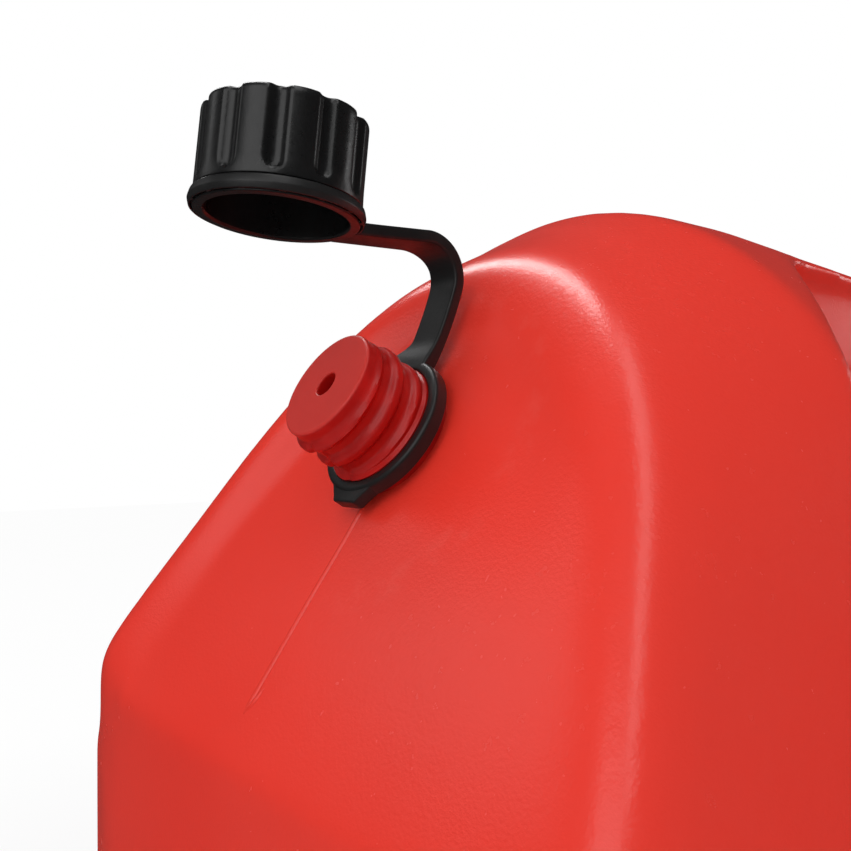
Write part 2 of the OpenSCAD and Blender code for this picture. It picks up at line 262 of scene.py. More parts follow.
@dataclass(frozen=True)
class StudRed:
    """The same red where the mould was polished: smoother and deeper, with a scuffed end face that is painted
    paler, as painted light on it.
    """

    colour: tuple = (0.36, 0.0035, 0.0025)
    pale: tuple = (0.46, 0.006, 0.004)
    # Paler colour for the stud's end face: painted light.
    painted_end_light: tuple = (0.56, 0.030, 0.022)
    rough: float = 0.32
    cloud_per_m: float = 200.0
    scuff_per_m: float = 1100.0
    scuff_deep: float = 0.00012
    vent: Vector = field(default_factory=Vector)
    vent_turn: Vector = field(default_factory=Vector)
    end_at: float = 0.0156

    def material(self) -> bpy.types.Material:
        """Makes the finish.

        Returns:
            The material.
        """
        g = Graph("stud_red")
        here = g.place()
        cloud = g.noise(here, self.cloud_per_m, 2.0)
        scuff = g.noise(here, self.scuff_per_m, 3.0, 0.6)
        up = g.axis(g.place(self.vent, self.vent_turn), "Z")
        end = up.step(self.end_at - 0.0003, self.end_at + 0.0001)
        colour = g.blend(cloud.step(0.3, 0.75), self.colour, self.pale)
        # The end face is painted paler, standing in for the brighter light that falls on it, flecked by the
        # scuff noise.
        g.feed("Base Color", g.blend(end * (0.75 + scuff * 0.25), colour, self.painted_end_light))
        g.feed("Roughness", self.rough + (scuff - 0.5) * 0.16 + end * 0.08)
        g.feed("Normal", g.bump(scuff * 0.6 + cloud * 0.4, 0.16, self.scuff_deep))
        g.feed("Specular IOR Level", 0.34)
        g.glow(0.10, (0.004, 0.0010, 0.0006))
        return g.owner


@dataclass(frozen=True)
class BlackPlastic:
    """Satin black moulded plastic with a faint grain and handling marks."""

    name: str
    colour: tuple = (0.006, 0.0061, 0.0063)
    worn: tuple = (0.011, 0.0112, 0.0115)
    rough: float = 0.31
    shine: float = 0.5
    cloud_per_m: float = 120.0
    grain_per_m: float = 1400.0
    grain_deep: float = 0.00008
    dust_per_m: float = 2600.0

    def material(self) -> bpy.types.Material:
        """Makes the finish.

        Returns:
            The material.
        """
        g = Graph(self.name)
        here = g.place()
        cloud = g.noise(here, self.cloud_per_m, 3.0)
        grain = g.noise(here, self.grain_per_m, 2.0, 0.6)
        dust = g.noise(here, self.dust_per_m, 1.0).step(0.70, 0.76) * cloud.step(0.5, 0.7)
        colour = g.blend(cloud.step(0.4, 0.75) * 0.6 + dust * 0.4, self.colour, self.worn)
        g.feed("Base Color", colour)
        g.feed("Roughness", self.rough + (grain - 0.5) * 0.16 + (cloud - 0.5) * 0.14)
        g.feed("Normal", g.bump(grain, 0.25, self.grain_deep))
        g.feed("Specular IOR Level", self.shine)
        return g.owner


@dataclass(frozen=True)
class SealRubber:
    """Matt dark rubber."""

    colour: tuple = (0.012, 0.012, 0.013)
    bloom: tuple = (0.035, 0.035, 0.036)
    rough: float = 0.72
    cloud_per_m: float = 300.0

    def material(self) -> bpy.types.Material:
        """Makes the finish.

        Returns:
            The material.
        """
        g = Graph("seal_rubber")
        here = g.place()
        cloud = g.noise(here, self.cloud_per_m, 4.0)
        g.feed("Base Color", g.blend(cloud.step(0.4, 0.7), self.colour, self.bloom))
        g.feed("Roughness", self.rough + (cloud - 0.5) * 0.2)
        g.feed("Normal", g.bump(cloud, 0.2, 0.0001))
        return g.owner


@dataclass
class Finishes:
    """The object's materials, each made once."""

    vent: Vector
    vent_turn: Vector

    def __post_init__(self) -> None:
        """Makes every material."""
        self.tank = TankRed(vent=self.vent, vent_turn=self.vent_turn).material()
        self.stud = StudRed(vent=self.vent, vent_turn=self.vent_turn).material()
        self.cap = BlackPlastic("cap_black").material()
        self.tether = BlackPlastic("tether_black", colour=(0.009, 0.009, 0.0093), worn=(0.016, 0.016, 0.016),
                                   rough=0.42).material()
        self.spout = BlackPlastic("spout_black", colour=(0.010, 0.010, 0.011), rough=0.42).material()
        self.seal = SealRubber().material()


# Mesh tools, in millimetres


def rounded(corners: Sequence[Corner], steps: int = 5) -> list[Point]:
    """An open outline with each corner turned into an arc.

    Args:
        corners: (x, y, radius) of each corner; the first and last stay sharp.
        steps: the straight pieces of each arc.

    Returns:
        The outline's points.
    """
    out: list[Point] = [(corners[0][0], corners[0][1])]
    for (ax, ay, _), (bx, by, r), (cx, cy, _) in zip(corners, corners[1:], corners[2:]):
        a, b, c = Vector((ax, ay)), Vector((bx, by)), Vector((cx, cy))
        back, on = a - b, c - b
        if r <= 0 or back.length < 1e-6 or on.length < 1e-6:
            out.append((bx, by))
            continue
        u, w = back.normalized(), on.normalized()
        half = math.acos(max(-1.0, min(1.0, u.dot(w)))) / 2
        reach = min(r / math.tan(half), back.length * 0.49, on.length * 0.49)
        start, end = b + u * reach, b + w * reach
        for i in range(steps + 1):
            t = i / steps
            p = start * (1 - t) ** 2 + b * 2 * t * (1 - t) + end * t ** 2
            out.append((p.x, p.y))
    out.append((corners[-1][0], corners[-1][1]))
    return out


def subdivided(points: Sequence[Point], longest: float) -> list[Point]:
    """Divides an outline's long pieces.

    Args:
        points: the outline.
        longest: the length that no straight piece may pass.

    Returns:
        The outline's points.
    """
    out = [points[0]]
    for a, b in zip(points, points[1:]):
        count = max(1, math.ceil(math.dist(a, b) / longest))
        out += [tuple(p + (q - p) * i / count for p, q in zip(a, b)) for i in range(1, count + 1)]
    return out


def revolve(bm: BMesh, outline: Sequence[Point], steps: int) -> None:
    """Spins an outline of (radius, height) about Z into a closed skin.

    Args:
        bm: the mesh to add to.
        outline: the points, from one end to the other.
        steps: the pieces round the turn.
    """
    verts = [bm.verts.new((max(r, 0.0), 0.0, z)) for r, z in outline]
    edges = [bm.edges.new(pair) for pair in zip(verts, verts[1:])]
    if math.dist(outline[0], outline[-1]) > 1e-6 and outline[0][0] > 0 and outline[-1][0] > 0:
        edges.append(bm.edges.new((verts[-1], verts[0])))
    bmesh.ops.spin(bm, geom=verts + edges, cent=(0, 0, 0), axis=(0, 0, 1), angle=math.tau, steps=steps,
                   use_merge=True)
    bmesh.ops.remove_doubles(bm, verts=bm.verts, dist=1e-4)
    bmesh.ops.dissolve_degenerate(bm, dist=1e-5, edges=bm.edges)
    face_out(bm)


def face_out(bm: BMesh) -> None:
    """Turns every face outwards."""
    bmesh.ops.recalc_face_normals(bm, faces=bm.faces)


def close(bm: BMesh) -> None:
    """Fills every hole and turns every face outwards."""
    bmesh.ops.holes_fill(bm, edges=[e for e in bm.edges if e.is_boundary], sides=0)
    face_out(bm)


def turned(side: Sequence[Corner], longest: float, steps: int, rise: Callable[[Vector], float]) -> BMesh:
    """Spins a side about Z and moves its points out.

    Args:
        side: (radius, height, rounding) of each corner.
        longest: the length that no straight piece of the side may pass.
        steps: the pieces round the turn.
        rise: how far a point is moved out.

    Returns:
        The mesh.
    """
    bm = bmesh.new()
    revolve(bm, subdivided(rounded(side), longest), steps)
    for v in bm.verts:
        r = math.hypot(v.co.x, v.co.y)
        if r > 1.0:
            k = (r + rise(v.co)) / r
            v.co.x *= k
            v.co.y *= k
    return bm


def circle(bm: BMesh, segments: int, radius: float, at: Sequence[float], turn: Matrix = Matrix()) -> None:
    """Adds a circle of points about a centre, in X and Y before its turn."""
    bmesh.ops.create_circle(bm, segments=segments, radius=radius, matrix=Matrix.Translation(at) @ turn)


def prism(bm: BMesh, outline: Sequence[Point], low: float, high: float) -> None:
    """Raises a flat outline in X and Y into a solid.

    Args:
        bm: the mesh to add to.
        outline: the points, once round.
        low: the height of its underside.
        high: the height of its top.
    """
    face = bm.faces.new([bm.verts.new((x, y, low)) for x, y in outline])
    raised = bmesh.ops.extrude_face_region(bm, geom=[face], use_keep_orig=True)["geom"]
    top = [v for v in raised if isinstance(v, bmesh.types.BMVert)]
    bmesh.ops.translate(bm, vec=(0, 0, high - low), verts=top)
    face_out(bm)


def soften(bm: BMesh, width: float, above: float = 30.0) -> None:
    """Bevels the sharp edges.

    Args:
        bm: the mesh.
        width: the bevel's width.
        above: the turn that makes an edge sharp, in degrees.
    """
    sharp = [e for e in bm.edges if len(e.link_faces) == 2 and e.calc_face_angle(0.0) > math.radians(above)]
    bmesh.ops.bevel(bm, geom=sharp, offset=width, segments=3, profile=0.5, affect="EDGES", material=-1,
                    clamp_overlap=True)


def wrap(bm: BMesh) -> None:
    """Replaces a cloud of points with its convex skin.

    Args:
        bm: the mesh that holds the points.
    """
    bmesh.ops.convex_hull(bm, input=list(bm.verts), use_existing_faces=False)
    bmesh.ops.delete(bm, geom=[v for v in bm.verts if not v.link_faces], context="VERTS")
    bmesh.ops.delete(bm, geom=[e for e in bm.edges if not e.link_faces], context="EDGES")
    face_out(bm)


def cut_off(bm: BMesh, on: Vector, out: Vector) -> None:
    """Cuts away what lies beyond a plane and closes the cut.

    Args:
        bm: the mesh.
        on: a point on the plane.
        out: the plane's direction.
    """
    geom = list(bm.verts) + list(bm.edges) + list(bm.faces)
    bmesh.ops.bisect_plane(bm, geom=geom, plane_co=on, plane_no=out, clear_outer=True)
    close(bm)


def linked(name: str, mesh: bpy.types.Mesh) -> bpy.types.Object:
    """Puts a mesh into the scene.

    Args:
        name: the object's name.
        mesh: the mesh, in metres.

    Returns:
        The object.
    """
    made = bpy.data.objects.new(name, mesh)
    bpy.context.scene.collection.objects.link(made)
    return made


def to_object(bm: BMesh, name: str, at: Matrix = Matrix()) -> bpy.types.Object:
    """Puts a mesh into the scene, from millimetres to metres.

    Args:
        bm: the mesh, which is used up.
        name: the object's name.
        at: the frame that the mesh was made in.

    Returns:
        The object.
    """
    bm.transform(at)
    bm.transform(Matrix.Scale(MM, 4))
    mesh = bpy.data.meshes.new(name)
    bm.to_mesh(mesh)
    bm.free()
    return linked(name, mesh)


def publish(made: bpy.types.Object, body: Body, material: bpy.types.Material,
            replaces: Iterable[str] = (), sharp_deg: float = 38.0, ride: bool = True) -> None:
    """Dresses a finished piece and hands it to the frame.

    Args:
        made: the piece, in place.
        body: the body that it moves with.
        material: its finish.
        replaces: the CAD nodes that it stands for.
        sharp_deg: edges that turn by more than this stay crisp.
        ride: whether it rides its body; when False it is left unattached.
    """
    made.data.materials.clear()
    made.data.materials.append(material)
    made.data.shade_smooth()
    made.data.set_sharp_from_angle(angle=math.radians(sharp_deg))
    if ride:
        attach(made, body.value)
    for node in replaces:
        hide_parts(node)
    LOG.info("%s: %d faces on %s", made.name, len(made.data.polygons), body.value)


def settled(base: bpy.types.Object, name: str) -> bpy.types.Object:
    """Applies an object's modifiers.

    Args:
        base: the object, which is removed.
        name: the new object's name.

    Returns:
        The result, as a new object.
    """
    bpy.context.view_layer.update()
    shaped = base.evaluated_get(bpy.context.evaluated_depsgraph_get())
    mesh = bpy.data.meshes.new_from_object(shaped)
    bpy.data.objects.remove(base, do_unlink=True)
    return linked(name, mesh)


def ramp(x: float, low: float, high: float) -> float:
    """A smooth rise from 0 at low to 1 at high."""
    t = max(0.0, min(1.0, (x - low) / (high - low)))
    return t * t * (3 - 2 * t)


@dataclass(frozen=True)
class Ribs:
    """A relief round a spun piece, outside a radius: upright ribs, or a thread if it has a pitch."""

    inner: float
    high: float
    start: Point
    stop: Point
    flank: Point
    count: int = 1
    pitch: float = 0.0

    def band(self, v: Vector) -> float:
        """1 between the heights where the relief starts and stops, and 0 clear of them."""
        return ramp(v.z, *self.start) * (1 - ramp(v.z, *self.stop))

    def rise(self, v: Vector) -> float:
        """Measures how far the relief stands out.

        Args:
            v: a point of the piece.

        Returns:
            The rise, in millimetres.
        """
        turn = math.atan2(v.y, v.x)
        if math.hypot(v.x, v.y) < self.inner:
            return 0.0
        if self.pitch:
            wave = 0.5 - abs((v.z / self.pitch - turn / math.tau) % 1.0 - 0.5)
        else:
            wave = math.cos(turn * self.count)
        return self.high * self.band(v) * ramp(wave, *self.flank)


@dataclass(frozen=True)
class Layout:
    """The can's main places, in millimetres from the base's centre."""

    length: float = 298.0
    width: float = 142.0
    height: float = 244.0
    vent_slope: float = 59.0
    vent_setback: float = 29.0
    vent_drop: float = 41.5
    deck_drop: float = 56.0
    neck_setback: float = 29.0
    cap_tilt: float = 65.0

    @property
    def vent_at(self) -> Vector:
        """The vent's centre on its sloping face."""
        return Vector((-self.length / 2 + self.vent_setback, 0, self.height - self.vent_drop))

    @property
    def vent(self) -> Matrix:
        """The vent face's frame: X up the slope, Z along the vent's axis."""
        return Matrix.Translation(self.vent_at) @ Matrix.Rotation(math.radians(-self.vent_slope), 4, "Y")

    def vent_axis(self, axis: Sequence[float]) -> Vector:
        """A direction of the vent face's frame, in the can's."""
        return self.vent.to_3x3() @ Vector(axis)

    @property
    def deck(self) -> float:
        """The height of the filler deck."""
        return self.height - self.deck_drop

    @property
    def neck(self) -> Matrix:
        """The filler neck's frame, on the deck."""
        return Matrix.Translation((self.length / 2 - self.neck_setback, 0, self.deck))


@dataclass
class Part:
    """A sub-assembly, with the can's places and materials that it draws on."""

    at: Layout
    finishes: Finishes


@dataclass
class Tank(Part):
    """The blow-moulded tank with its handle."""

    corner: float = 26.0
    foot: float = 9.0
    shoulder: float = 134.0
    crown: float = 61.0
    crown_slope: float = 26.4
    crown_break: float = 38.6
    crown_drop: float = 0.5
    crown_bends: tuple = ((18.0, 0.0, 0.26), (44.0, 0.52, 0.63))
    ridge: float = 34.0
    ridge_fall: float = 5.8
    nose_long: float = 85.0
    nose_drop: float = 28.0
    end_draft: float = 3.0
    grip_thick: float = 28.0
    grip_wide: float = 36.0
    gap_high: float = 40.0
    gap_long: float = 122.0
    gap_setback: float = 98.0
    flare_rear: float = 0.8
    flare_front: float = 0.35
    scoop_rise: float = 18.0
    scoop_fall: float = 17.0
    leg_thick: float = 22.0
    leg_lean: float = 17.0
    neck_bore: float = 16.0
    well: tuple = (-135.0, 15.0)
    clear: float = 120.0
    cell: float = 1.0
    soften_passes: int = 20
    kept_share: float = 0.32
    # The vent face's relief: ranges run up the slope (x), across it (y) or in from it (z)
    pad: tuple = (10.0, 30.0)
    dish: float = 1.3
    dish_x: tuple = (-30.0, 10.0)
    lip: float = 2.5
    lip_y: tuple = (-5.0, 22.0)
    lip_foot: float = 0.2
    lip_foot_x: tuple = (20.0, 46.0)
    lip_top: float = 0.55
    lip_top_x: tuple = (-25.0, 32.0)
    face_band: float = 2.4
    face_lean: float = 0.7
    face_z: tuple = (0.3, 1.8)
    arch: tuple = (-66.1, 101.3, 61.0)
    arch_band: float = 20.0
    edge_band: float = 13.0
    edge_z: tuple = (-8.0, 3.8)
    edge_passes: int = 90
    let_out: float = 4.0
    let_out_x: tuple = (12.0, 52.0)
    let_in_x: tuple = (80.0, 200.0)
    let_in_z: tuple = (8.0, 90.0)
    let_out_y: tuple = (30.0, 58.0)
    let_out_spare: float = 5.0

    def crown_line(self) -> list[Corner]:
        """Lists the top's line from the vent end to the spout end.

        Returns:
            (x, z, radius across) of each bend.
        """
        end, high = self.at.length / 2 - self.end_draft, self.at.height
        x1, z1 = self.at.vent_at.x + self.crown_break, high - self.crown_drop
        z0 = z1 - (x1 + end) * math.tan(math.radians(self.crown_slope))
        draw = self.crown - self.ridge
        bends = [(x1 + run, high - self.ridge_fall * fall, self.crown - draw * narrowed)
                 for run, fall, narrowed in self.crown_bends]
        return [(-end, z0, self.crown), (x1, z1, self.crown), *bends,
                (self.at.length / 2 - self.nose_long, high - self.ridge_fall, self.ridge),
                (end, high - self.nose_drop, self.ridge)]

    def form(self) -> BMesh:
        """Makes the closed form, before the handle is cut.

        Returns:
            The mesh.
        """
        bm = bmesh.new()
        x, y = self.at.length / 2 - self.corner, self.at.width / 2 - self.corner
        rings = [(0.0, self.corner - self.foot), (self.foot * 0.3, self.corner - self.foot * 0.3),
                 (self.foot, self.corner), (self.shoulder, self.corner)]
        for sx in (-x, x):
            for sy in (-y, y):
                for z, r in rings:
                    circle(bm, 48, r, (sx, sy, z))
        across = Matrix.Rotation(math.radians(90), 4, "Y")
        for px, pz, radius in self.crown_line():
            circle(bm, 96, radius, (px, 0, pz - radius), across)
        wrap(bm)
        cut_off(bm, self.at.vent_at, self.at.vent_axis((0, 0, 1)))
        return bm

    def deck_cutter(self) -> BMesh:
        """Makes what is cut away over the filler deck.

        Returns:
            The cutter.
        """
        bm = bmesh.new()
        leg, deck = self.gap_ends()[1] + self.gap_high / 2 + self.leg_thick, self.at.deck
        lean = self.clear * math.tan(math.radians(self.leg_lean))
        prism(bm, [(leg, deck), (leg + self.clear, deck), (leg + self.clear, deck + self.clear),
                   (leg - lean, deck + self.clear)], -self.at.width, self.at.width)
        bm.transform(UPRIGHT)
        face_out(bm)
        return bm

    def gap_ends(self) -> Point:
        """Where the hand gap's two round ends are centred, along X."""
        first = -self.at.length / 2 + self.gap_setback + self.gap_high / 2
        return first, first + self.gap_long - self.gap_high

    @property
    def gap_height(self) -> float:
        """The height of the hand gap's centre."""
        return self.at.height - self.grip_thick - self.gap_high / 2

    def gap_cutter(self) -> BMesh:
        """Makes the straight hand gap.

        Returns:
            The cutter.
        """
        bm = bmesh.new()
        for x in self.gap_ends():
            for y in (-self.grip_wide / 2 - 1, self.grip_wide / 2 + 1):
                circle(bm, 72, self.gap_high / 2, (x, y, self.gap_height), UPRIGHT)
        wrap(bm)
        return bm

    def scoop_cutter(self, side: int) -> BMesh:
        """Makes the widening scoop on one side of the hand gap.

        Args:
            side: 1 or -1, along Y.

        Returns:
            The cutter.
        """
        bm = bmesh.new()
        deep = self.at.width / 2 + 12 - self.grip_wide / 2
        for x, flare in zip(self.gap_ends(), (self.flare_rear, self.flare_front)):
            for depth, rise in ((0.0, 0.0), (0.0, self.scoop_rise), (deep, 0.0), (deep, self.scoop_rise)):
                centre = (x, side * (self.grip_wide / 2 + depth), self.gap_height + rise)
                circle(bm, 72, self.gap_high / 2 + flare * depth, centre, UPRIGHT)
        wrap(bm)
        fall = math.radians(self.scoop_fall)
        cut_off(bm, Vector((0, side * self.grip_wide / 2, self.gap_height - self.gap_high / 2)),
                Vector((0, -side * math.sin(fall), -math.cos(fall))))
        return bm

    def well_cutter(self) -> BMesh:
        """Makes the filler's way down into the tank.

        Returns:
            The cutter.
        """
        bm = bmesh.new()
        low, high = self.well
        middle = self.at.neck @ Matrix.Translation((0, 0, (low + high) / 2))
        bmesh.ops.create_cone(bm, cap_ends=True, segments=64, radius1=self.neck_bore, radius2=self.neck_bore,
                              depth=high - low, matrix=middle)
        return bm

    def inside(self, x: float, y: float) -> float:
        """Measures how far a place on the vent face lies inside the face's arched edge.

        Args:
            x: the place's distance up the slope.
            y: its distance across the slope.

        Returns:
            The distance, about, and below 0 outside.
        """
        foot, tall, wide = self.arch
        u, v = (x - foot) / tall, y / wide
        reach = max(math.hypot(u, v), 1e-6)
        return (1 - reach) * reach / max(math.hypot(u / tall, v / wide), 1e-6)

    def relief(self, x: float, y: float) -> float:
        """Measures how far the vent face stands out.

        Args:
            x: a place's distance up the slope.
            y: its distance across the slope.

        Returns:
            The rise over the flat face.
        """
        pad = 1 - ramp(math.hypot(x, y), *self.pad)
        hollow = ramp(self.inside(x, y), 0.0, self.arch_band)
        side = ramp(y, *self.lip_y) * (1 + self.lip_foot * ramp(-x, *self.lip_foot_x))
        lip = self.lip * max(side, self.lip_top * ramp(x, *self.lip_top_x)) * (1 - hollow)
        return lip - self.dish * hollow * ramp(x, *self.dish_x) * (1 - pad)

    def widening(self, here: Vector) -> float:
        """Measures how far a side is let out beside the vent face's foot.

        Args:
            here: the place, in the vent's frame.

        Returns:
            The distance along Y.
        """
        along = ramp(-here.x, *self.let_out_x) * (1 - ramp(-here.x, *self.let_in_x))
        along *= 1 - ramp(-here.z, *self.let_in_z)
        spare = ramp(self.at.width / 2 - abs(here.y), 0.0, self.let_out_spare)
        return math.copysign(self.let_out, here.y) * along * spare * ramp(abs(here.y), *self.let_out_y)

    def by_edge(self, here: Vector) -> bool:
        """Tells whether a place, in the vent's frame, is by the face's arched edge."""
        low, high = self.edge_z
        return low < here.z < high and abs(self.inside(here.x, here.y)) < self.edge_band

    def shape_face(self, tank: bpy.types.Object) -> None:
        """Hollows the vent face, raises its lip, lets the sides out and softens the arched edge.

        Args:
            tank: the softened tank.
        """
        bm = bmesh.new()
        bm.from_mesh(tank.data)
        out, across = self.at.vent_axis((0, 0, 1)), self.at.vent_axis((0, 1, 0))
        back = self.at.vent.inverted()
        for v in bm.verts:
            here = back @ (v.co / MM)
            v.co += across * (self.widening(here) * MM)
            if abs(here.z) < self.face_band and v.normal.dot(out) > self.face_lean:
                flat = 1 - ramp(-here.z, *self.face_z)
                v.co += out * (self.relief(here.x, here.y) * flat * MM)
        edge = [v for v in bm.verts if self.by_edge(back @ (v.co / MM))]
        for verts, passes in ((edge, self.edge_passes), (bm.verts, 3)):
            for _ in range(passes):
                bmesh.ops.smooth_vert(bm, verts=verts, factor=0.5, use_axis_x=True, use_axis_y=True,
                                      use_axis_z=True)
        bm.to_mesh(tank.data)
        bm.free()

    def build(self) -> None:
        """Cuts, softens and dresses the tank."""
        base = to_object(self.form(), "tank_form")
        meshes = (self.deck_cutter(), self.gap_cutter(), self.scoop_cutter(1), self.scoop_cutter(-1),
                  self.well_cutter())
        cutters = [to_object(bm, "cutter") for bm in meshes]
        for cutter in cutters:
            cut = base.modifiers.new("cut", "BOOLEAN")
            cut.operation, cut.solver, cut.object = "DIFFERENCE", "EXACT", cutter
        remesh = base.modifiers.new("even", "REMESH")
        remesh.mode, remesh.voxel_size = "VOXEL", self.cell * MM
        smooth = base.modifiers.new("soft", "SMOOTH")
        smooth.factor, smooth.iterations = 0.5, self.soften_passes
        dense = settled(base, "tank_dense")
        for cutter in cutters:
            bpy.data.objects.remove(cutter, do_unlink=True)
        self.shape_face(dense)
        thin = dense.modifiers.new("thin", "DECIMATE")
        thin.ratio = self.kept_share
        even = dense.modifiers.new("settle", "SMOOTH")
        even.factor, even.iterations = 0.4, 3
        tank = settled(dense, "tank")
        publish(tank, Body.CAN, self.finishes.tank,
                ["tank_lower", "vent_shoulder", "carry_grip", "filler_shoulder"], sharp_deg=180)


@dataclass
class VentStud(Part):
    """The threaded vent stud moulded on the sloping face."""

    land: float = 10.2
    land_high: float = 4.5
    root: float = 9.0
    crest: float = 10.0
    high: float = 15.8
    pitch: float = 4.2
    flank: tuple = (0.14, 0.40)
    run_in: tuple = (-0.8, 1.2)
    run_out: tuple = (-3.4, -1.6)
    flash: tuple = (0.03, 0.10)
    flash_high: float = 0.30
    flash_fill: float = 0.75
    hole: float = 2.0
    hole_deep: float = 11.0

    def __post_init__(self) -> None:
        """Works out the thread, before its flash."""
        start = tuple(self.land_high + run for run in self.run_in)
        stop = tuple(self.high + run for run in self.run_out)
        self.ribs = Ribs(self.root - 0.2, self.crest - self.root, start, stop, self.flank, pitch=self.pitch)

    def thread(self, v: Vector) -> float:
        """Measures how far the thread and its moulding flash stand out.

        Args:
            v: a point of the stud.

        Returns:
            The rise, in millimetres.
        """
        if v.z <= self.land_high or math.hypot(v.x, v.y) < self.ribs.inner:
            return 0.0
        seam = abs(abs(math.atan2(v.y, v.x) / math.tau) - 0.5) * math.tau
        flash = 1 - ramp(seam, *self.flash)
        thread = self.ribs.rise(v) * (1 - self.flash_fill * flash)
        return thread + self.flash_high * flash * self.ribs.band(v)

    def build(self) -> None:
        """Spins the stud, raises its thread and dresses it."""
        root, step, hole, foot = self.root, self.land_high, self.hole, self.high - self.hole_deep
        bm = turned([(self.land, -3.0, 0), (self.land, step, 0.4), (root, step + 0.5, 0.4),
                     (root, self.high, 0.55), (hole, self.high, 0.3), (hole, foot, 0.2), (0.0, foot, 0)],
                    0.3, 160, self.thread)
        close(bm)
        made = to_object(bm, "vent_stud", self.at.vent)
        publish(made, Body.CAN, self.finishes.stud, ["vent_stud"])


@dataclass
class PartingLine(Part):
    """The thin line that the mould's two halves leave on the vent face."""

    tank: Tank
    low: tuple = (-47.6, 5.5)
    under_ring: tuple = (-9.0, 0.2)
    over_strap: tuple = (24.0, 1.6)
    high: tuple = (29.0, 0.6)
    wide: float = 1.6
    proud: float = 0.27
    sunk: float = 0.1
    thick: float = 0.5
    taper: tuple = (-1.0, 3.0)
    fork: float = 6.0
    fork_deg: float = 16.0

    def build(self) -> None:
        """Lays the line and its forked end on the face."""
        bm = bmesh.new()
        low, top = Vector(self.low), Vector(self.under_ring)
        self.strip(bm, low, top)
        self.strip(bm, Vector(self.over_strap), Vector(self.high))
        lean = Matrix.Rotation(math.radians(-self.fork_deg), 2) @ (top - low).normalized()
        self.strip(bm, low, low + lean * self.fork)
        bmesh.ops.solidify(bm, geom=bm.faces[:], thickness=self.thick)
        face_out(bm)
        made = to_object(bm, "parting_line", self.at.vent)
        publish(made, Body.CAN, self.finishes.tank, sharp_deg=80)

    def strip(self, bm: BMesh, a: Vector, b: Vector) -> None:
        """Adds one ridge that follows the face and tapers at both ends.

        Args:
            bm: the mesh to add to.
            a: its first end on the face.
            b: its other end.
        """
        span = b - a
        side = Vector((-span.y, span.x)).normalized() * self.wide / 2
        made = bmesh.ops.create_grid(bm, x_segments=max(4, round(span.length)), y_segments=6, size=1.0)
        for v in made["verts"]:
            t, across = (v.co.x + 1) / 2, v.co.y
            thin = ramp(min(t, 1 - t) * span.length, *self.taper)
            on = a + span * t + side * (across * thin)
            step = ramp(across, 1.0, -0.5) * ramp(across, -1.0, -0.6)
            rise = self.tank.relief(on.x, on.y) + (self.proud + self.sunk) * step * thin - self.sunk
            v.co = Vector((on.x, on.y, rise))


